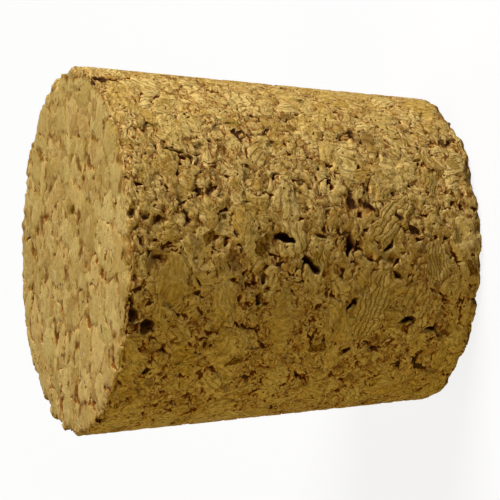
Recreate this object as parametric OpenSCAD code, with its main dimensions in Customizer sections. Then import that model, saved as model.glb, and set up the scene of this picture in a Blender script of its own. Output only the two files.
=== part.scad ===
// Tapered cork stopper, pressed from cork granules and ground to a plain cone in one piece.
// It stands on its small end at Z = 0, with its axis on Z and the large end up.

/* [Stopper] */
// Diameter of the large end
large_end_d = 38; // [26:0.5:60]
// Diameter of the small end, which goes into the neck first
small_end_d = 32; // [20:0.5:54]
// Length from end face to end face
stopper_l = 39; // [26:0.5:60]

/* [Worn rims] */
// Radius worn on the rim of the large end
large_rim_r = 0.5; // [0.2:0.1:1.5]
// Radius worn on the rim of the small end
small_rim_r = 0.8; // [0.2:0.1:1.5]
// Depth of the chips that have broken off the rims
chip_depth = 0.9; // [0.3:0.1:1.5]

/* [Granules] */
// Usual width of a cork granule, which the voids between granules are sized by too
granule_w = 3; // [1.5:0.25:5]
// Granules on the side that lie askew, with one edge below the ground surface
sunken_granules = 150; // [0:1:180]
// Depth of that edge below the ground surface
sunken_depth = 0.35; // [0.1:0.05:0.5]

/* [Open voids] */
// How deep a void goes, as a share of its length
void_depth = 0.4; // [0.2:0.05:0.5]
// Open voids scattered over the back of the side
back_voids = 26; // [0:1:40]
// Open voids scattered over each end face
end_voids = 7; // [0:1:14]

/* [Hidden] */
$fn = 96;

large_r = large_end_d / 2;
small_r = small_end_d / 2;
taper = atan((large_r - small_r) / stopper_l);
cork_colour = [0.76, 0.62, 0.40];

// Flat bands that make up each worn rim
rim_bands = 6;
// Corners of a granule's outline, and how much the press has flattened it along the axis
granule_corners = 6;
granule_flatness = 0.75;
// Turn in degrees from one scattered granule or void to the next
golden_turn = 137.508;
scatter_seed = 18;
// The back of the side, in degrees round the axis
back_from = 8;
back_to = 172;
// Scattered granules and voids keep to this share of the length, and of an end face's radius
scatter_from = 0.05;
scatter_to = 0.95;
end_reach = 0.82;

// Voids on the front of the side: turn round the axis in degrees, share of the length up from
// the small end, length and width in granules, and slant in degrees off the axis
front_voids = [
    [336, 0.98, 0.90, 0.30, -50],
    [302, 0.85, 0.75, 0.18, -15],
    [299, 0.81, 0.50, 0.16, -65],
    [303, 0.16, 0.55, 0.14, 5],
    [292, 0.52, 0.30, 0.20, -30],
    [290, 0.25, 0.35, 0.22, -40],
    [285, 0.67, 0.45, 0.14, 10],
    [281, 0.99, 0.60, 0.25, 60],
    [280, 0.95, 0.40, 0.25, -30],
    [280, 0.74, 0.40, 0.25, -40],
    [275, 0.47, 0.45, 0.25, -30],
    [274, 0.57, 0.90, 0.33, -10],
    [271, 0.39, 1.00, 0.20, 85],
    [271, 0.28, 0.75, 0.20, 40],
    [268, 0.92, 0.45, 0.25, 0],
    [266, 0.27, 0.35, 0.28, 0],
    [265, 0.50, 0.95, 0.30, -35],
    [261, 0.25, 0.60, 0.25, -25],
    [261, 0.63, 0.50, 0.20, 80],
    [260, 0.81, 0.65, 0.14, -75],
    [255, 0.99, 0.70, 0.20, 80],
    [254, 0.64, 0.60, 0.25, 70],
    [252, 0.37, 0.75, 0.14, 60],
    [251, 0.98, 0.60, 0.35, -60],
    [247, 0.94, 0.65, 0.50, 30],
    [244, 0.21, 0.90, 0.18, 15],
    [240, 0.13, 0.60, 0.30, 20],
    [233, 0.37, 0.60, 0.15, 30],
    [231, 0.92, 0.40, 0.25, 60],
    [206, 0.99, 0.60, 0.35, 50],
];

// Chips on the rims: turn round the axis in degrees, and length along the rim in granules
large_rim_chips = [[140, 1.6], [164, 0.9], [26, 0.8]];
small_rim_chips = [[334, 1.8], [70, 1.1], [212, 0.7]];

// Radius of the cone at a height
function side_r(height) = small_r + (large_r - small_r) * height / stopper_l;

// Points along a round stretch of an outline
function arc(centre, radius, from, to) = [
    for (i = [0:rim_bands])
        let (a = from + (to - from) * i / rim_bands)
            centre + radius * [cos(a), sin(a)]
];

// The half outline of the stopper, from the middle of the small end to the middle of the large end
function outline() =
    let (
        low = [small_r - small_rim_r * (1 - sin(taper)) / cos(taper), small_rim_r],
        high = [large_r - large_rim_r * (1 + sin(taper)) / cos(taper), stopper_l - large_rim_r]
    )
    concat(
        [[0, 0]],
        arc(low, small_rim_r, -90, -taper),
        arc(high, large_rim_r, -taper, 90),
        [[0, stopper_l]]
    );

// The outline of a granule: uneven corners, flattened along the axis by the press
function granule_outline(size, seed) =
    let (
        reach = rands(0.65, 1.15, granule_corners, seed),
        stray = rands(-0.3, 0.3, granule_corners, seed + 1)
    )
    [
        for (i = [0:granule_corners - 1])
            let (a = 360 * (i + stray[i]) / granule_corners)
                size / 2 * reach[i] * [granule_flatness * cos(a), sin(a)]
    ];

// A sunken granule in a surface that faces +X: a flat floor that leans, from level with the surface
// at one edge down to the full depth at the other
module sunken_granule(size, lean, seed) {
    floor_tilt = atan(sunken_depth / size);
    rotate([lean, 0, 0])
        rotate([0, floor_tilt, 0])
            translate([-sunken_depth / 2, 0, 0])
                rotate([-lean, 0, 0])
                    rotate([0, 90, 0])
                        linear_extrude(height = 4 * sunken_depth)
                            polygon(granule_outline(size, seed));
}

// A void in a surface that faces +X: a deep crevice with pointed ends, slanted off Z.
// Its cutter is a lens that stands on its edge, where two balls overlap.
module void(length, width, slant) {
    deep = void_depth * length;
    lens_r = (length * length / 4 + deep * deep) / (2 * deep);
    ball_r = (lens_r * lens_r + width * width / 4) / width;
    apart = ball_r - width / 2;
    translate([lens_r - deep, 0, 0])
        rotate([slant, 0, 0])
            intersection() {
                translate([0, apart, 0]) sphere(r = ball_r);
                translate([0, -apart, 0]) sphere(r = ball_r);
            }
}

// Sets a void on the side, at a turn and a height
module on_side(turn, height) {
    rotate([0, 0, turn])
        translate([side_r(height), 0, height])
            rotate([0, taper, 0])
                children();
}

// Sets a void on an end face, where out is 1 on the large end and -1 on the small one
module on_end(turn, reach, height, out) {
    rotate([0, 0, turn])
        translate([reach, 0, height])
            rotate([0, -90 * out, 0])
                children();
}

module side_granules() {
    size = rands(0.7, 1.45, sunken_granules + 1, scatter_seed + 10);
    lean = rands(0, 360, sunken_granules + 1, scatter_seed + 11);
    for (i = [0:1:sunken_granules - 1])
        let (up = scatter_from + (scatter_to - scatter_from) * (i + 0.5) / sunken_granules)
            on_side(i * golden_turn, up * stopper_l)
                sunken_granule(size[i] * granule_w, lean[i], scatter_seed + 12 + 2 * i);
}

module front_side_voids() {
    for (v = front_voids)
        on_side(v[0], v[1] * stopper_l)
            void(v[2] * granule_w, v[3] * granule_w, v[4]);
}

module back_side_voids() {
    up = rands(scatter_from, scatter_to, back_voids + 1, scatter_seed);
    long = rands(0.3, 0.95, back_voids + 1, scatter_seed + 1);
    wide = rands(0.14, 0.32, back_voids + 1, scatter_seed + 2);
    slant = rands(-90, 90, back_voids + 1, scatter_seed + 3);
    for (i = [0:1:back_voids - 1])
        let (round_back = (i * golden_turn / 360) % 1)
            on_side(back_from + (back_to - back_from) * round_back, up[i] * stopper_l)
                void(long[i] * granule_w, wide[i] * granule_w, slant[i]);
}

module end_face_voids(radius, height, out, seed) {
    long = rands(0.25, 0.6, end_voids + 1, seed);
    wide = rands(0.12, 0.2, end_voids + 1, seed + 1);
    slant = rands(-90, 90, end_voids + 1, seed + 2);
    for (i = [0:1:end_voids - 1])
        on_end(i * golden_turn, radius * end_reach * sqrt((i + 0.5) / end_voids), height, out)
            void(long[i] * granule_w, wide[i] * granule_w, slant[i]);
}

// A spindle of this length and girth along Z, with pointed ends
module spindle(length, girth) {
    bulge = girth / 2;
    arc_r = (length * length / 4 + bulge * bulge) / (2 * bulge);
    rotate_extrude()
        intersection() {
            translate([bulge - arc_r, 0]) circle(r = arc_r);
            translate([0, -length]) square([girth, 2 * length]);
        }
}

// Chips along a rim of this radius and height: each lies along the rim
module rim_chips(chips, radius, height) {
    for (c = chips)
        rotate([0, 0, c[0]])
            translate([radius, 0, height])
                rotate([90, 0, 0])
                    spindle(c[1] * granule_w, 2 * chip_depth);
}

module cork_stopper() {
    color(cork_colour)
        difference() {
            rotate_extrude() polygon(outline());
            side_granules();
            front_side_voids();
            back_side_voids();
            end_face_voids(large_r, stopper_l, 1, scatter_seed + 4);
            end_face_voids(small_r, 0, -1, scatter_seed + 7);
            rim_chips(large_rim_chips, large_r, stopper_l);
            rim_chips(small_rim_chips, small_r, 0);
        }
}

cork_stopper();
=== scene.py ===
# %% [markdown]
# # A cork stopper, pressed from granules
# This stopper is one piece: cork granules, glued and pressed into a block and ground to a plain cone.
# Its shape is simple, so nearly all of its look is in the surface: granules of every size, crumbs between
# them, gaping seams, open voids, growth rings and a dry, matt grain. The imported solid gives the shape, its
# voids and its sunken granules. This lesson makes a finer copy of it, works the smaller granules into that
# copy and colours them.

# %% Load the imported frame
import math

import bmesh
import bpy
from mathutils import Matrix, Vector


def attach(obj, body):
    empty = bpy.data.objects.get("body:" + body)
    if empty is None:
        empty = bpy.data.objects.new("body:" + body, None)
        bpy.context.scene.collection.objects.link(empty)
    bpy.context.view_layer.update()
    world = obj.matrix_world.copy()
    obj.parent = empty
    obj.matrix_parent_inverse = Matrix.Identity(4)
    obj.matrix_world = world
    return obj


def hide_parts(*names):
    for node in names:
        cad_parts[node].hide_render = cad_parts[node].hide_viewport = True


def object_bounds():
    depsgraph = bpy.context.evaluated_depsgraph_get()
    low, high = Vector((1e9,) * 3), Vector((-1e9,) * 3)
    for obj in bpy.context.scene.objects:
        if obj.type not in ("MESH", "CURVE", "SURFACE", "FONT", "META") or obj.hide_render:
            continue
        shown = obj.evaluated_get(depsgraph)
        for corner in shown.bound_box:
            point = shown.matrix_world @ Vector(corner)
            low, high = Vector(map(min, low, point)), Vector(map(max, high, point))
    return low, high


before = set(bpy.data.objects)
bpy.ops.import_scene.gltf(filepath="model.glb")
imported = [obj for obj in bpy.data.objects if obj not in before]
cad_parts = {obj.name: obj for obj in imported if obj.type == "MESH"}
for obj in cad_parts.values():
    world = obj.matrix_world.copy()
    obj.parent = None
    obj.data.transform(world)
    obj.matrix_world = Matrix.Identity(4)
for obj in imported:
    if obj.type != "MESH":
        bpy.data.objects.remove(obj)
cad_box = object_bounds()
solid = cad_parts["cork_stopper"]
print("frame:", sorted(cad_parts), "triangles:", len(solid.data.polygons))

# %% [markdown]
# ## A fine copy of the solid
# The solid is loose triangles, long and thin ones, which no relief can be pressed into. A copy is merged
# and then remeshed in small even cells. The work is done in millimetres, because every granule, crack and
# pit is easier to write that way, and the mesh goes back to metres at the end.

# %% Copy and merge
MM = 1000.0
MERGE_MM = 0.0005

shape = bmesh.new()
shape.from_mesh(solid.data)
bmesh.ops.scale(shape, vec=(MM, MM, MM), verts=shape.verts)
bmesh.ops.remove_doubles(shape, verts=shape.verts, dist=MERGE_MM)
mesh = bpy.data.meshes.new("pressed_cork_body")
shape.to_mesh(mesh)
shape.free()
cork = bpy.data.objects.new("pressed_cork_body", mesh)
bpy.context.scene.collection.objects.link(cork)
print("merged copy:", len(mesh.vertices), "points")

# %% Remesh in even cells
CELL_MM = 0.11


def applied(piece):
    """The piece's mesh with its modifiers worked in, which are then taken off."""
    view = bpy.context.evaluated_depsgraph_get()
    made = bpy.data.meshes.new_from_object(
        piece.evaluated_get(view), preserve_all_data_layers=True, depsgraph=view
    )
    piece.modifiers.clear()
    old = piece.data
    piece.data = made
    bpy.data.meshes.remove(old)
    return made


even = cork.modifiers.new("even cells", "REMESH")
even.mode = "VOXEL"
even.voxel_size = CELL_MM
print("fine copy:", len(applied(cork).vertices), "points")

# %% [markdown]
# ## One way to write nodes for two jobs
# The granules are worked out twice: once to press their relief into the mesh, in geometry nodes, and
# once to colour them, in shader nodes. Both kinds of tree have the same noise, Voronoi and maths nodes,
# so one small bench writes to either, and the colours fall exactly where the relief is. What a node puts
# out is kept as a field, and fields can be added and multiplied, so a recipe reads like a sum.

# %% Fields


class Field:
    """A number or vector that changes over the surface. Sums and products of fields become nodes."""

    def __init__(self, bench, socket):
        self.bench = bench
        self.socket = socket

    def __add__(self, other):
        return self.bench.sum("ADD", self, other)

    def __sub__(self, other):
        return self.bench.sum("SUBTRACT", self, other)

    def __rsub__(self, other):
        return self.bench.sum("SUBTRACT", other, self)

    def __mul__(self, other):
        return self.bench.sum("MULTIPLY", self, other)

    __radd__ = __add__
    __rmul__ = __mul__


def is_vector(value):
    """True for a field of vectors or colours and for a plain triple of numbers."""
    if isinstance(value, Field):
        return value.socket.type in ("VECTOR", "RGBA")
    return isinstance(value, tuple)


# %% Sums of fields


class Sums:
    """Adds nodes to one tree and hands back the fields that they put out."""

    def __init__(self, tree):
        self.tree = tree

    def feed(self, socket, value):
        if isinstance(value, Field):
            self.tree.links.new(value.socket, socket)
        else:
            socket.default_value = value

    def node(self, kind, inputs=(), **settings):
        made = self.tree.nodes.new(kind)
        for name, value in settings.items():
            setattr(made, name, value)
        for name, value in dict(inputs).items():
            self.feed(made.inputs[name], value)
        return made

    def out(self, made, name=0):
        return Field(self, made.outputs[name])

    def vector(self, operation, a, b=(0.0, 0.0, 0.0), out=0):
        """One step of vector maths, such as a length or a dot product."""
        return self.out(self.node("ShaderNodeVectorMath", {0: a, 1: b}, operation=operation), out)

    def sum(self, operation, a, b=0.0):
        """One step of arithmetic on two numbers or two vectors, or a vector times a number."""
        vectors = (is_vector(a), is_vector(b))
        if not any(vectors):
            return self.out(self.node("ShaderNodeMath", {0: a, 1: b}, operation=operation))
        if all(vectors):
            return self.vector(operation, a, b)
        long, number = (a, b) if vectors[0] else (b, a)
        return self.out(self.node("ShaderNodeVectorMath", {0: long, "Scale": number}, operation="SCALE"))

    def more(self, a, b):
        return self.sum("MAXIMUM", a, b)

    def less(self, a, b):
        return self.sum("MINIMUM", a, b)

    def parts(self, vector):
        made = self.node("ShaderNodeSeparateXYZ", {0: vector})
        return self.out(made, 0), self.out(made, 1), self.out(made, 2)

    def joined(self, x, y, z):
        return self.out(self.node("ShaderNodeCombineXYZ", {0: x, 1: y, 2: z}))


# %% [markdown]
# ## The patterns of the bench
# Cork needs few patterns. Noise gives grain and mottle, and it also pushes places about, which makes every
# edge ragged. Voronoi cells are the granules: each has random numbers of its own, and a distance to its
# edge. A smooth step turns any of these into a mask, and masks lay one colour over another.

# %% The node bench


class Bench(Sums):
    """Sums of fields, with the patterns, masks and colours that cork is made of."""

    def ramp(self, value, low, high, start=0.0, end=1.0):
        """A smooth step from start to end, while the value goes from low to high."""
        ends = {"Value": value, "From Min": low, "From Max": high, "To Min": start, "To Max": end}
        return self.out(self.node("ShaderNodeMapRange", ends, interpolation_type="SMOOTHSTEP"))

    def noise(self, at, size, detail=2.0, rough=0.5, out=0):
        ends = {"Vector": at, "Scale": 1.0 / size, "Detail": detail, "Roughness": rough}
        return self.out(self.node("ShaderNodeTexNoise", ends), out)

    def push(self, at, size, reach, detail=2.0):
        """A push by noise of that size, in any direction, by up to about that reach."""
        return (self.noise(at, size, detail, out="Color") - (0.5, 0.5, 0.5)) * (2.0 * reach)

    def stray(self, at, size, reach):
        """The place, moved about by such a push."""
        return at + self.push(at, size, reach)

    def cells(self, at, size):
        """Three random numbers for each cell, and how far a place is from the cell's middle."""
        made = self.node("ShaderNodeTexVoronoi", {"Vector": at, "Scale": 1.0 / size})
        return self.parts(self.out(made, "Color")), self.out(made, "Distance")

    def edge(self, at, size):
        """How far a place is from the edge of its cell."""
        ends = {"Vector": at, "Scale": 1.0 / size}
        made = self.node("ShaderNodeTexVoronoi", ends, feature="DISTANCE_TO_EDGE")
        return self.out(made, "Distance") * size

    def turned(self, at, axis, angle):
        ends = {"Vector": at, "Axis": axis, "Angle": angle}
        return self.out(self.node("ShaderNodeVectorRotate", ends, rotation_type="AXIS_ANGLE"))

    def mix(self, share, under, over):
        """A colour laid over another, by a share from 0 to 1."""
        return self.out(self.node("ShaderNodeMix", {0: share, 6: under, 7: over}, data_type="RGBA"), 2)


# %% [markdown]
# ## Granules that stand out
# A few granules catch the eye on the front: big plain ones, some cut across their growth rings, and some
# of brown bark. Each is given as an ellipse on the side, unrolled flat, and noise makes its edge
# ragged. A sine wave across the ellipse draws its growth rings.

# %% Places of the marked granules
# Kind, turn round the axis in degrees, height, half length and half width in millimetres, slant of the
# long side in degrees off the axis, and how far apart its growth rings are in millimetres
MARKED = [
    ("rings", 280, 10.2, 3.1, 1.7, 50, 0.52),
    ("rings", 295, 5.4, 1.5, 0.8, 85, 0.34),
    ("rings", 267, 18.2, 1.4, 0.8, 100, 0.33),
    ("rings", 250, 12.3, 3.6, 1.9, 78, 0.5),
    ("rings", 265, 5.3, 1.9, 1.4, 100, 0.36),
    ("plain", 247, 22.0, 3.9, 1.25, 92, 0.0),
    ("plain", 261, 34.3, 2.5, 1.7, 90, 0.0),
    ("plain", 282, 24.6, 1.8, 0.62, 92, 0.0),
    ("plain", 254, 28.6, 2.4, 1.2, 80, 0.0),
    ("plain", 278, 27.1, 1.9, 1.0, 80, 0.0),
    ("plain", 242, 14.3, 2.2, 1.6, 20, 0.0),
    ("bark", 274, 30.5, 0.68, 0.62, 45, 0.0),
    ("bark", 271, 24.8, 1.1, 0.55, 80, 0.0),
    ("bark", 263, 1.4, 0.95, 0.45, 110, 0.0),
    ("bark", 235, 17.7, 0.9, 0.5, 10, 0.0),
    ("bark", 232, 26.5, 0.9, 0.5, 20, 0.0),
    ("olive", 303, 2.4, 0.75, 0.7, 0, 0.0),
    ("olive", 315, 26.0, 0.8, 0.7, -30, 0.0),
    ("olive", 279, 17.0, 0.65, 0.5, 0, 0.0),
    ("olive", 307, 10.9, 0.8, 0.6, 0, 0.0),
    ("rust", 230, 4.8, 0.8, 0.6, 30, 0.0),
]
KINDS = ("rings", "plain", "bark", "olive", "rust")
print("marked granules:", len(MARKED))

# %% Masks of the marked granules
LARGE_R_MM = 19.0
SMALL_R_MM = 16.0
MIDDLE_R_MM = (LARGE_R_MM + SMALL_R_MM) / 2.0
FRONT_TURN = 270
RING_SWAY = 7.0
FAR = 9.0


def within(bench, reach):
    """1 inside an ellipse and 0 outside it, where the reach is 1 on its edge."""
    return bench.ramp(reach, 0.94, 1.04, 1.0, 0.0)


def marked(bench, ground):
    """Where the marked granules are, by kind, with their outlines and the lines of their rings."""
    x, y, z = bench.parts(ground)
    round_mm = bench.sum("ARCTAN2", x, 0.0 - y) * MIDDLE_R_MM
    unrolled = bench.joined(round_mm, z, 0.0)
    ragged = bench.noise(ground, 0.8, 3.0, 0.6) - 0.5
    sway = RING_SWAY * bench.noise(ground, 0.8, 1.0)
    nearest = dict.fromkeys(KINDS, FAR)
    lines = 0.0
    for kind, turn, height, half_length, half_width, slant, spacing in MARKED:
        place = (math.radians(turn - FRONT_TURN) * MIDDLE_R_MM, height, 0.0)
        own = bench.turned(unrolled - place, (0.0, 0.0, 1.0), math.radians(90.0 - slant))
        own = own * (1.0 / half_length, 1.0 / half_width, 0.0)
        reach = bench.vector("LENGTH", own, out="Value") + ragged * (1.0 + 0.5 / half_width)
        nearest[kind] = bench.less(nearest[kind], reach)
        if spacing:
            wave = bench.parts(own)[1] * (2.0 * math.pi * half_width / spacing) + sway
            ring = bench.ramp(bench.sum("SINE", wave), 0.45, 1.0)
            lines = bench.more(lines, ring * within(bench, reach))
    masks = {kind: within(bench, nearest[kind]) for kind in KINDS}
    any_kind = FAR
    for kind in KINDS:
        any_kind = bench.less(any_kind, nearest[kind])
    masks["whole"] = within(bench, any_kind)
    masks["outline"] = bench.ramp(any_kind, 0.92, 1.02) * bench.ramp(any_kind, 1.02, 1.14, 1.0, 0.0)
    masks["lines"] = lines
    return masks


# %% [markdown]
# ## The granules
# Pressing flattens the granules along the stopper's axis and leaves them angular, with ragged edges.
# A Voronoi pattern on coordinates that stray a little gives just that. Some granules are whole and smooth.
# Others have broken into bits, which are a second, smaller Voronoi pattern shown only inside them.

# %% Granules and the bits that they break into
FLATNESS = 0.66
GRANULE_MM = 3.7
BIT_MM = 1.5
WHOLE_SHARE = 0.4


def granules(bench, ground):
    """What both trees need to know about the granules at a point of the ground surface."""
    marks = marked(bench, ground)
    pressed = ground * (1.0, 1.0, 1.0 / FLATNESS)
    at = bench.stray(bench.stray(pressed, 2.4, 0.9), 0.5, 0.25)
    draw, reach = bench.cells(at, GRANULE_MM)
    bit_draw, bit_reach = bench.cells(at, BIT_MM)
    return {
        "edge": bench.edge(at, GRANULE_MM),
        "draw": draw,
        "reach": reach,
        "bit_edge": bench.edge(at, BIT_MM),
        "bit_draw": bit_draw,
        "bit_reach": bit_reach,
        "broken": bench.ramp(draw[0], WHOLE_SHARE, WHOLE_SHARE + 0.02) * (1.0 - marks["whole"]),
        "marks": marks,
    }


# %% [markdown]
# ## Where a point lies on the stopper
# The end faces are ground smoother than the side, the rims are worn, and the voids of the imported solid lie
# below both. All of that follows from two distances: how far a point is inside the cone, and how far it is
# inside the nearer end face.

# %% Side, ends and rims
LENGTH_MM = (cad_box[1][2] - cad_box[0][2]) * MM
SLOPE = (LARGE_R_MM - SMALL_R_MM) / LENGTH_MM


def zones(bench, ground, g):
    """Adds how far a point is sunk below the side and the ends, and what lies on an end or a rim."""
    x, y, z = bench.parts(ground)
    g["off_side"] = SMALL_R_MM + z * SLOPE - bench.sum("SQRT", x * x + y * y)
    g["off_end"] = bench.less(z, LENGTH_MM - z)
    g["sunk"] = bench.less(g["off_side"], g["off_end"])
    g["end_face"] = bench.ramp(g["off_end"], 0.12, 0.4, 1.0, 0.0) * bench.ramp(g["off_side"], 0.3, 1.2)
    g["rim"] = bench.ramp(bench.more(g["off_side"], g["off_end"]), 0.3, 1.6, 1.0, 0.0)
    g["broken"] = g["broken"] * (1.0 - 0.3 * g["end_face"])
    g["patchy"] = bench.noise(ground, 2.6, 1.0)


print("length", round(LENGTH_MM, 3), "mm, slope of the side", round(SLOPE, 4))

# %% [markdown]
# ## Crumbs
# Between the granules, inside the most broken ones and along the rims lie crumbs: lumps of half a
# millimetre with gaps round them, and here and there one has fallen out. They are a third Voronoi pattern,
# shown only where the cork is loose.

# %% Crumbs
CRUMB_MM = 0.5


def crumbs(bench, ground, g):
    """Adds where the cork is loose, and its crumbs with their corners, gaps and lost ones."""
    patchy = g["patchy"]
    border = bench.ramp(g["edge"] - 0.9 * (patchy - 0.42), -0.06, 0.14, 1.0, 0.0)
    crumbled = g["broken"] * bench.ramp(g["bit_draw"][0], 0.5, 0.56)
    loose = bench.more(bench.more(border, crumbled), g["rim"] * bench.ramp(patchy, 0.42, 0.52))
    loose = loose * (1.0 - 0.6 * g["end_face"]) * (1.0 - g["marks"]["whole"])
    at = bench.stray(ground * (1.0, 1.0, 1.6), 0.45, 0.3)
    draw, reach = bench.cells(at, CRUMB_MM)
    g["loose"] = loose
    g["crumb_draw"] = draw
    g["crumb_seam"] = bench.ramp(bench.edge(at, CRUMB_MM), 0.0, 0.09, 1.0, 0.0) * loose
    g["corner"] = bench.ramp(reach, 0.56, 0.74) * loose
    g["lost"] = bench.ramp(draw[0], 0.93, 0.95) * loose


# %% [markdown]
# ## Seams that gape
# A crack drawn along every granule would look like a net. On real cork the glue has let go only here and
# there, and the seam opens like a lens, wide in the middle and closed at both ends. So the distance to the
# nearest seam is set against a width that noise drives: the crack is where the width is larger, and a pale
# band along its edge is a painted highlight. The other seams are only faint lines.

# %% Seams and cracks
GAPE_MM = 0.34
GAPE_SLOPE_MM = 12.0


def seams(bench, ground, g):
    """Adds the faint seams, the cracks where seams gape, and the painted highlight along the lips of those
    cracks.
    """
    marks = g["marks"]
    faint = bench.ramp(bench.noise(ground, 0.9, 1.0), 0.4, 0.6)
    seam = bench.ramp(g["edge"], 0.0, 0.11, 1.0, 0.0) * (1.0 - marks["whole"])
    seam = bench.more(seam, 0.8 * marks["outline"])
    bit_seam = bench.ramp(g["bit_edge"], 0.0, 0.09, 1.0, 0.0) * g["broken"]
    g["joins"] = bench.more(seam, 0.8 * bit_seam) * faint
    g["line"] = bench.more(g["joins"], 0.6 * g["crumb_seam"] * faint)

    # Cracks gape more towards -X, the side away from the key lamp, which makes that side darker: partly
    # painted shade.
    more_gape_away_from_key = bench.ramp(bench.parts(ground)[0], -GAPE_SLOPE_MM, GAPE_SLOPE_MM, 0.04, -0.015)
    gape = bench.ramp(bench.noise(ground, 1.2, 2.0, 0.6) + more_gape_away_from_key, 0.54, 0.76)
    gaping = bench.ramp(gape, 0.0, 0.12)
    near = bench.less(g["edge"] + marks["whole"], (1.0 - g["broken"]) + g["bit_edge"] + 0.04)
    past_gap = near - GAPE_MM * gape
    crack = bench.ramp(past_gap, -0.1, 0.03, 1.0, 0.0) * gaping
    g["crack"] = bench.more(crack, marks["outline"] * bench.ramp(gape, 0.2, 0.5))
    # The lip is a painted highlight: a pale band just outside each open crack.
    g["lip"] = bench.ramp(past_gap, 0.02, 0.08) * bench.ramp(past_gap, 0.1, 0.26, 1.0, 0.0) * gaping


# %% [markdown]
# ## Pits and specks
# Where three granules meet, a corner often stays open. Smaller holes, the cork's own pores, are strewn over
# the side. Both are filled with dust on the ground end faces, so there are fewer of them there.

# %% Pits and specks


def pits(bench, ground, g):
    """Adds the open corners between granules, and the small pores."""
    joint = bench.ramp(g["reach"], 0.74, 0.82) * bench.ramp(g["patchy"], 0.53, 0.64)
    bit_joint = bench.ramp(g["bit_reach"], 0.7, 0.8) * g["broken"] * bench.ramp(g["patchy"], 0.52, 0.62)
    g["pit"] = bench.more(joint, bit_joint) * (1.0 - 0.7 * g["end_face"])
    speck = bench.ramp(bench.noise(ground * (1.0, 1.0, 1.3), 0.45, 2.0, 0.6), 0.65, 0.7)
    g["speck"] = speck * (1.0 - 0.8 * g["end_face"]) * (1.0 - 0.6 * g["marks"]["whole"])


def surface(bench, ground):
    """All that is known about a point of the ground surface."""
    g = granules(bench, ground)
    for step in (zones, crumbs, seams, pits):
        step(bench, ground, g)
    return g


# %% [markdown]
# ## The relief
# Grinding leaves the granules almost level, so the relief is all inwards: each granule lies a little
# lower than the ground surface, cracks are cut between them, and gaps are left round the crumbs. Geometry
# nodes work it out for every point at once, which is far quicker than a loop over the points.

# %% Start the relief
relief = bpy.data.node_groups.new("granule relief", "GeometryNodeTree")
relief.interface.new_socket("Geometry", in_out="INPUT", socket_type="NodeSocketGeometry")
relief.interface.new_socket("Geometry", in_out="OUTPUT", socket_type="NodeSocketGeometry")
bench = Bench(relief)
way_in = bench.out(bench.node("NodeGroupInput"))
way_out = bench.node("NodeGroupOutput")
ground = bench.out(bench.node("GeometryNodeInputPosition"))
outward = bench.out(bench.node("GeometryNodeInputNormal"))
g = surface(bench, ground)
print("granules, crumbs and seams:", len(relief.nodes), "nodes")

# %% How deep each point is pressed in
STEP_MM = 0.05
WAVY_MM = 0.1
CRUMB_STEP_MM = 0.045
GAP_MM = 0.02
DEPTH_MM = {"corner": 0.07, "lost": 0.07, "line": 0.02, "crack": 0.32, "pit": 0.2, "speck": 0.14}
GRAIN_MM = 0.08
RING_MM = 0.07

depth = STEP_MM * g["draw"][1] + STEP_MM * g["bit_draw"][1] * g["broken"]
depth = depth + WAVY_MM * bench.noise(ground, 2.2)
depth = depth + g["loose"] * (GAP_MM + CRUMB_STEP_MM * g["crumb_draw"][1])
for name, deep in DEPTH_MM.items():
    depth = depth + deep * g[name]
depth = depth + GRAIN_MM * bench.noise(ground, 0.45, 3.0, 0.65) + RING_MM * g["marks"]["lines"]
print("deepest crack:", max(DEPTH_MM.values()), "mm")

# %% [markdown]
# ## Ground ends, worn rims and rough voids
# The end faces keep less than half of that relief, and their granules are pillows with shallow valleys
# between them. The rims have crumbled unevenly. A void is already as deep as it should be, so little is
# pressed in there, but its clean-cut edges are made ragged, by pushing points along the surface.

# %% Ends and rims
GROUND_OFF = 0.55
VALLEY_MM = 0.08
PILLOW_MM = 0.1
RIM_WEAR_MM = 0.55
LEVEL_MM = 0.1

pillow = bench.ramp(g["edge"], 0.0, 0.4, VALLEY_MM, 0.0)
pillow = pillow + bench.ramp(bench.noise(ground, 1.1), 0.3, 0.7, 0.0, PILLOW_MM)
depth = depth * (1.0 - GROUND_OFF * g["end_face"]) + g["end_face"] * pillow
depth = depth + g["rim"] * bench.ramp(bench.noise(ground, 2.2, 2.5), 0.42, 0.72, 0.0, RIM_WEAR_MM)
depth = depth - LEVEL_MM
depth = depth * bench.ramp(g["sunk"], 0.36, 0.6, 1.0, 0.3)
print("depth:", len(relief.nodes), "nodes so far")

# %% Ragged voids
COARSE_MM = 1.4
FINE_MM = 0.6

rag = bench.push(ground, COARSE_MM, 0.55, 1.0) + bench.push(ground, FINE_MM, 0.25, 1.0)
radial = bench.vector("NORMALIZE", ground * (1.0, 1.0, 0.0))
out_part = bench.vector("DOT_PRODUCT", rag, radial, out="Value")
rag = rag - radial * (out_part * bench.ramp(g["off_side"], 0.3, 1.5, 1.0, 0.0))
up_part = bench.parts(rag)[2] * bench.ramp(g["off_end"], 0.3, 1.5, 1.0, 0.0)
rag = rag - up_part * (0.0, 0.0, 1.0)
print("ragged voids:", len(relief.nodes), "nodes so far")

# %% [markdown]
# ## Press it in
# The place of every point before it was moved is kept as an attribute, and so is how deep its void goes,
# because the finish is coloured by them: a void is painted darker the deeper it goes, partly as painted
# shade.
# No point may leave the cone or pass the ends, since the stopper keeps the size of the imported solid.

# %% Keep the places and move the points
SPARE_MM = 0.03


def stored(geometry, name, value, kind):
    """The geometry, with a value of each point kept under a name."""
    ends = {"Geometry": geometry, "Name": name, "Value": value}
    return bench.out(bench.node("GeometryNodeStoreNamedAttribute", ends, data_type=kind, domain="POINT"))


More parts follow.
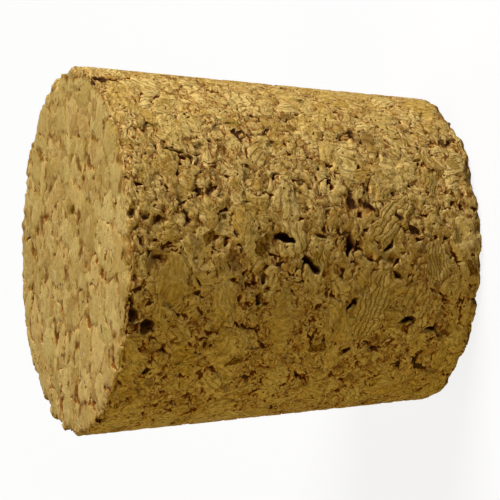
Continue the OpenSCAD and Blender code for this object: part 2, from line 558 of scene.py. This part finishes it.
geometry = stored(way_in, "ground", ground, "FLOAT_VECTOR")
geometry = stored(geometry, "sunk", g["sunk"], "FLOAT")
x, y, z = bench.parts(ground + rag - outward * depth)
z = bench.less(bench.more(z, SPARE_MM), LENGTH_MM - SPARE_MM)
cone_r = SMALL_R_MM - SPARE_MM + z * SLOPE
inside = bench.less(bench.sum("DIVIDE", cone_r, bench.sum("SQRT", x * x + y * y)), 1.0)
place = bench.joined(x * inside, y * inside, z)
moved = bench.node("GeometryNodeSetPosition", {"Geometry": geometry, "Position": place})
bench.feed(way_out.inputs[0], bench.out(moved))

cork.modifiers.new("granule relief", "NODES").node_group = relief
applied(cork)
depths = [0.0] * len(cork.data.vertices)
cork.data.attributes["sunk"].data.foreach_get("value", depths)
print("voids: deepest", round(max(depths), 3), "mm")

# %% [markdown]
# ## Thin the mesh and set it in place
# Level granules need few triangles and crumbs need many, so the mesh is thinned where it is flat.
# Thinning can leave specks that no longer hang on the rest, so only the points that can be reached from
# the top are kept. Then the mesh goes back to metres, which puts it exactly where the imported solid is.

# %% Thin
MOST_TRIANGLES = 190_000


def count_triangles(mesh):
    return sum(len(face.vertices) - 2 for face in mesh.polygons)


triangles = count_triangles(cork.data)
thin = cork.modifiers.new("thin flat parts", "DECIMATE")
thin.ratio = min(1.0, MOST_TRIANGLES / triangles)
print("thinned:", triangles, "->", count_triangles(applied(cork)), "triangles")

# %% Delete specks
shape = bmesh.new()
shape.from_mesh(cork.data)
top = max(shape.verts, key=lambda point: point.co.z)
reached = {top}
waiting = [top]
while waiting:
    point = waiting.pop()
    for edge in point.link_edges:
        other = edge.other_vert(point)
        if other not in reached:
            reached.add(other)
            waiting.append(other)
specks = [point for point in shape.verts if point not in reached]
bmesh.ops.delete(shape, geom=specks, context="VERTS")
shape.to_mesh(cork.data)
shape.free()
print("stray specks deleted:", len(specks), "points")

# %% Back to metres
cork.data.transform(Matrix.Scale(1.0 / MM, 4))
for face in cork.data.polygons:
    face.use_smooth = True
print("in place:", count_triangles(cork.data), "triangles")

# %% [markdown]
# ## The finish
# Bare cork is dry and matt, with next to no gloss. The finish reads the places that were kept before the
# relief was pressed in, and works out the same granules, crumbs and seams again. Every colour is then
# laid over the last one by a mask, as a painter would lay thin coats.

# %% Start the finish
finish = bpy.data.materials.new("bare_pressed_cork")
finish.use_nodes = True
bench = Bench(finish.node_tree)
shader = finish.node_tree.nodes["Principled BSDF"]
shader.inputs["Roughness"].default_value = 0.9
shader.inputs["Specular IOR Level"].default_value = 0.03

ground = bench.out(bench.node("ShaderNodeAttribute", attribute_name="ground"), "Vector")
sunk = bench.out(bench.node("ShaderNodeAttribute", attribute_name="sunk"), "Fac")
g = surface(bench, ground)
marks = g["marks"]
end_face = g["end_face"]
print("finish reads", len(g), "fields")

# %% Colours


def colour(red, green, blue):
    """A colour as read off a screen, from 0 to 255, in the linear values that a shader takes."""
    def linear(v):
        v /= 255.0
        return v / 12.92 if v <= 0.04045 else ((v + 0.055) / 1.055) ** 2.4
    return (linear(red), linear(green), linear(blue), 1.0)


PALE = colour(217, 187, 115)
STRAW = colour(190, 153, 72)
HONEY = colour(158, 117, 42)
BLUSH = colour(222, 182, 114)
OLIVE = colour(146, 110, 38)
RUST = colour(154, 84, 22)
BROWN = colour(84, 45, 13)
# The two darkest browns are partly the brown of dust and glue and partly painted shade, for the depths of
# cracks, pits and voids.
CRACK_BROWN_AND_SHADE = colour(60, 30, 12)
PIT_BROWN_AND_SHADE = colour(40, 20, 12)
CHALKY = colour(206, 181, 110)
SAGE = colour(162, 136, 66)
AMBER = colour(142, 96, 22)
UMBER = colour(108, 68, 16)


def coats(base, layers):
    """The base with colours laid over it in turn, each by its share."""
    for share, tone in layers:
        base = bench.mix(share, base, tone)
    print("coats laid:", len(layers))
    return base


def softer_on_ends(share):
    """1 on the side, and less by that share on the end faces."""
    return 1.0 - share * end_face


# %% [markdown]
# ## A tan for each granule
# Granules come from different boards, so each has a tan of its own between straw and pale, and broken ones
# vary from bit to bit. The crumbs vary most. The end faces are ground last, and their dust makes them
# chalky, with an amber bit here and there.

# %% Tones of the granules, bits and crumbs
whole_tone = bench.mix(g["draw"][2], STRAW, PALE)
bit_tone = bench.mix(bench.ramp(g["bit_draw"][2], 0.0, 1.0, 0.1, 0.95), HONEY, PALE)
crumb_tone = bench.mix(bench.ramp(g["crumb_draw"][2], 0.0, 0.7, 0.1, 1.0), HONEY, PALE)
crumb_tone = bench.mix(bench.ramp(g["crumb_draw"][1], 0.7, 0.8), crumb_tone, BLUSH)
chalky_tone = bench.mix(0.5 * g["draw"][2] + 0.5 * g["bit_draw"][2], SAGE, CHALKY)
chalky_tone = bench.mix(bench.ramp(g["draw"][1], 0.6, 0.9, 0.0, 0.4), chalky_tone, BLUSH)
ambered = bench.ramp(g["bit_draw"][1], 0.84, 0.87) * g["broken"] * end_face

base = coats(whole_tone, [
    (0.8 * g["broken"], bit_tone),
    (0.65 * g["loose"], crumb_tone),
    (0.4 * marks["plain"], STRAW),
    (0.7 * end_face, chalky_tone),
    (0.6 * ambered, AMBER),
])

# %% [markdown]
# ## Grain, mottle and growth rings
# Inside a granule the cork has fibres, a fine grain and a soft olive mottle, all in a direction of its
# own. Some granules show growth rings, as thin brown lines: even ones where the cut ran across them, and
# torn, wavy ones where it didn't.

# %% Directions, fibres and flakes
FLAKE_MM = 0.5
TORN = 22.0
RING_EVENNESS = 17.0

axis = bench.joined(g["draw"][1] - 0.5, g["draw"][2] - 0.5, 0.2)
turned = bench.turned(ground, axis, g["draw"][0] * 40.0)
torn = bench.noise(turned * (0.6, 1.6, 1.6), 0.9, 3.0, 0.6)
ringed = bench.ramp(g["draw"][2], 0.84, 0.86) * (1.0 - marks["whole"])
wave = bench.parts(turned)[1] * (2.0 * math.pi / FLAKE_MM) + torn * (TORN - RING_EVENNESS * ringed)
flake = bench.ramp(bench.sum("SINE", wave), 0.45, 1.0)
fibre = bench.noise(turned * (0.9, 4.5, 2.0), 0.8, 3.0, 0.6)
grain = bench.noise(ground, 0.26, 2.0, 0.65)
mottle = bench.noise(turned * (0.8, 1.5, 1.2), 0.75, 3.0, 0.6)

# %% Lay the grain, mottle and rings
mottled = softer_on_ends(0.6) * (1.0 - 0.6 * marks["whole"])
torn_lines = flake * (1.0 - 0.5 * g["loose"]) * (0.26 + 0.2 * ringed) * (1.0 - 0.3 * marks["whole"])
torn_lines = torn_lines * softer_on_ends(0.6)

base = coats(base, [
    (bench.ramp(fibre, 0.38, 0.62, 0.0, 0.5) * softer_on_ends(0.7), HONEY),
    (bench.ramp(grain, 0.5, 0.75, 0.0, 0.5) * softer_on_ends(0.7), HONEY),
    (bench.ramp(grain, 0.25, 0.45, 0.5, 0.0) * softer_on_ends(0.6), PALE),
    (bench.ramp(mottle, 0.52, 0.68, 0.0, 0.75) * mottled, OLIVE),
    (bench.ramp(mottle, 0.34, 0.48, 0.6, 0.0) * mottled, PALE),
    (bench.more(torn_lines, 0.6 * marks["lines"]), BROWN),
])

# %% [markdown]
# ## Bark, seams and specks
# A few bits are bark and stay brown all through, and the marked granules get their colours. Seams are olive
# between whole granules and rust-brown between crumbs, where the glue shows. The lip of an open crack is
# painted pale, as a painted highlight where light catches its edge.

# %% Lay the bark, seams and specks
odd = bench.ramp(g["bit_draw"][1], 0.96, 0.965) * g["broken"] * (1.0 - end_face)
bark_tone = bench.mix(bench.ramp(grain, 0.35, 0.65), BROWN, OLIVE)
seam_tone = bench.mix(0.7 * g["loose"], OLIVE, RUST)

base = coats(base, [
    (0.5 * odd, BROWN),
    (marks["bark"], bark_tone),
    (marks["olive"] * bench.ramp(grain, 0.3, 0.6, 0.85, 0.5), OLIVE),
    (marks["rust"] * bench.ramp(grain, 0.3, 0.6, 0.75, 0.4), RUST),
    (0.55 * g["line"] * softer_on_ends(0.3), seam_tone),
    (bench.ramp(g["corner"], 0.0, 0.6, 0.0, 0.5), RUST),
    (bench.ramp(g["corner"], 0.5, 1.0, 0.0, 0.6), BROWN),
    (0.4 * g["lost"], BROWN),
    # Painted highlight: the lips of open cracks go pale.
    (0.6 * g["lip"], BLUSH),
    (bench.ramp(g["speck"], 0.0, 0.5, 0.0, 0.7), RUST),
    (bench.ramp(g["speck"], 0.4, 1.0, 0.0, 0.9), BROWN),
])

# %% [markdown]
# ## Stains, cracks and voids
# The end faces are stained amber along some seams, with a few brown flecks. Cracks go from rust at their
# edges to dark brown, and the pits and the voids of the imported solid are the darkest, darker the deeper
# they go.
# That dark is partly the brown of dust and glue and partly painted shade.

# %% Lay the stains, cracks and voids
stain = bench.noise(ground, 1.8, 2.5) + bench.ramp(g["edge"], 0.1, 0.7, 0.06, -0.08)
fleck = bench.ramp(bench.noise(ground, 0.8, 2.0), 0.64, 0.69) * end_face
fleck_tone = bench.mix(bench.ramp(g["patchy"], 0.42, 0.55), BROWN, OLIVE)

base = coats(base, [
    (bench.ramp(stain, 0.57, 0.69, 0.0, 0.65) * end_face, AMBER),
    (bench.ramp(stain, 0.67, 0.74, 0.0, 0.75) * end_face, UMBER),
    (0.75 * fleck, fleck_tone),
    (bench.ramp(g["crack"], 0.0, 0.5, 0.0, 0.8), RUST),
    # Painted shade in part: the middle of a crack goes dark brown.
    (bench.ramp(g["crack"], 0.4, 1.0, 0.0, 0.75) * softer_on_ends(0.55), CRACK_BROWN_AND_SHADE),
    (0.5 * g["pit"], RUST),
    # Painted shade in part: the pits go near black.
    (bench.ramp(g["pit"], 0.4, 1.0, 0.0, 0.9), PIT_BROWN_AND_SHADE),
    # Painted shade in part: voids go brown and then near black, the deeper they are.
    (bench.ramp(sunk, 0.18, 0.4, 0.0, 0.9), BROWN),
    (bench.ramp(sunk, 0.36, 0.6), PIT_BROWN_AND_SHADE),
])
bench.feed(shader.inputs["Base Color"], base)

# %% [markdown]
# ## The finest relief
# What is finer than the mesh is left to a bump: the grain, the fibres and flakes, the small pores, and a
# groove along each faint seam. The end faces are ground, so theirs is weaker.

# %% Bump
BUMP_M = 0.00012

height = (1.25 - 0.6 * end_face) * bench.noise(ground, 0.36, 3.0, 0.65) - 0.6 * marks["lines"]
height = height + (0.8 * fibre - 0.5 * flake) * softer_on_ends(0.7)
height = height - 0.8 * g["speck"] - 0.45 * g["joins"] * softer_on_ends(0.4)
bump = bench.node("ShaderNodeBump", {"Strength": 1.0, "Distance": BUMP_M, "Height": height})
bench.feed(shader.inputs["Normal"], bench.out(bump))
cork.data.materials.append(finish)
print("finish:", len(finish.node_tree.nodes), "nodes")

# %% [markdown]
# ## Tie the piece to the frame
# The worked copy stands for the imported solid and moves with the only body.

# %% Ride on the frame
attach(cork, "root")
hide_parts("cork_stopper")
print("rides on root:", cork.name)

# %% [markdown]
# ## The floor
# The stopper stands on plain white paper. The camera sees the paper as almost white, because most of what
# it sees there is an even glow, and the rest is lit and keeps the stopper's shadow. For light that bounces
# back up, the paper counts as grey, so that it doesn't wash the warm colour out of the shaded side.

# %% Floor
FLOOR_M = 3.0
BOUNCING_GREY = (0.3, 0.3, 0.3, 1.0)
PAPER_WHITE = (0.9, 0.9, 0.9, 1.0)
GLOW_SHARE = 0.85

shape = bmesh.new()
bmesh.ops.create_grid(shape, x_segments=1, y_segments=1, size=FLOOR_M)
mesh = bpy.data.meshes.new("floor")
shape.to_mesh(mesh)
shape.free()
floor = bpy.data.objects.new("floor", mesh)
bpy.context.scene.collection.objects.link(floor)
print("floor:", 2.0 * FLOOR_M, "m wide")

# %% White paper


def seen_rays(bench):
    """1 for a ray that shows the background: from the camera, off a gloss or through glass."""
    path = bench.node("ShaderNodeLightPath")
    glossy = bench.more(bench.out(path, "Is Glossy Ray"), bench.out(path, "Is Transmission Ray"))
    return bench.more(bench.out(path, "Is Camera Ray"), glossy)


paper = bpy.data.materials.new("white_paper")
paper.use_nodes = True
bench = Bench(paper.node_tree)
white = paper.node_tree.nodes["Principled BSDF"]
white.inputs["Roughness"].default_value = 1.0
white.inputs["Specular IOR Level"].default_value = 0.0
glow = bench.out(bench.node("ShaderNodeEmission"))
seen = seen_rays(bench)
bench.feed(white.inputs["Base Color"], bench.mix(seen, BOUNCING_GREY, PAPER_WHITE))
mixed = bench.node("ShaderNodeMixShader", {0: GLOW_SHARE * seen, 1: bench.out(white), 2: glow})
bench.feed(paper.node_tree.nodes["Material Output"].inputs["Surface"], bench.out(mixed))
floor.data.materials.append(paper)
print("paper:", len(paper.node_tree.nodes), "nodes")

# %% [markdown]
# ## Light
# Three soft square lamps light the stopper: a key from one side and above, a weaker and warmer one from the
# other side, and one from behind. The room adds a little warm light from all round, and looks white to the
# camera.

# %% World
ROOM_LIGHT = (1.0, 0.72, 0.16, 1.0)
ROOM_STRENGTH = 0.045
ROOM_SEEN = (1.0, 1.0, 1.0, 1.0)

world = bpy.data.worlds.new("studio")
bpy.context.scene.world = world
world.use_nodes = True
bench = Bench(world.node_tree)
room = world.node_tree.nodes["Background"]
seen = seen_rays(bench)
bench.feed(room.inputs["Color"], bench.mix(seen, ROOM_LIGHT, ROOM_SEEN))
bench.feed(room.inputs["Strength"], bench.ramp(seen, 0.0, 1.0, ROOM_STRENGTH, 1.0))
print("room light:", ROOM_STRENGTH)

# %% Lamps
LAMP_FAR_M = 0.5
LAMP_SIZE_M = 0.25
# Name, direction from the stopper, watts and tint
LAMPS = [
    ("key", (0.8, -0.18, 0.5), 3.72, (0.99, 1.0, 1.02)),
    ("bounce", (-0.8, -0.5, 0.25), 1.05, (1.0, 0.83, 0.26)),
    ("back", (-0.2, 0.95, 0.12), 2.1, (0.98, 1.0, 1.06)),
]
middle = Vector((0.0, 0.0, LENGTH_MM / MM / 2.0))

for name, towards, watts, tint in LAMPS:
    data = bpy.data.lights.new(name, "AREA")
    data.energy = watts
    data.size = LAMP_SIZE_M
    data.color = tint
    lamp = bpy.data.objects.new(name, data)
    bpy.context.scene.collection.objects.link(lamp)
    way = Vector(towards).normalized()
    lamp.location = middle + way * LAMP_FAR_M
    lamp.rotation_euler = way.to_track_quat("Z", "Y").to_euler()
    print("lamp:", name, watts, "W")

# %% [markdown]
# ## The camera
# The stopper stands upright here, and the picture shows it lying with its large end to the left. So the
# camera is rolled: its left is the stopper's up. It looks a little down on the large end. The tilt, the
# roll, the distance and the focal length were fitted to the outline of the stopper in the photograph.

# %% Camera
TILT = math.radians(20.35)
ROLL = math.radians(0.31)
FAR_M = 0.3298
FOCUS_PX = 3157.5
PHOTO_PX = 500
SENSOR_MM = 36.0

back = Vector((0.0, -math.cos(TILT), math.sin(TILT)))
left_level = Vector((0.0, math.sin(TILT), math.cos(TILT)))
up_level = Vector((1.0, 0.0, 0.0))
left = left_level * math.cos(ROLL) + up_level * math.sin(ROLL)
up = up_level * math.cos(ROLL) - left_level * math.sin(ROLL)
data = bpy.data.cameras.new("camera")
data.sensor_width = SENSOR_MM
data.lens = SENSOR_MM * FOCUS_PX / PHOTO_PX
camera = bpy.data.objects.new("camera", data)
bpy.context.scene.collection.objects.link(camera)
turn = Matrix((-left, up, back)).transposed().to_4x4()
camera.matrix_world = Matrix.Translation(middle + back * FAR_M) @ turn
bpy.context.scene.camera = camera
bpy.context.scene.view_settings.view_transform = "Standard"
print("lens:", round(data.lens, 1), "mm")

# %% [markdown]
# ## Bring the scene up to date
# The scene is brought up to date. The visual model has to stay within the imported solid's box.

# %% Bring the scene up to date
bpy.context.view_layer.update()
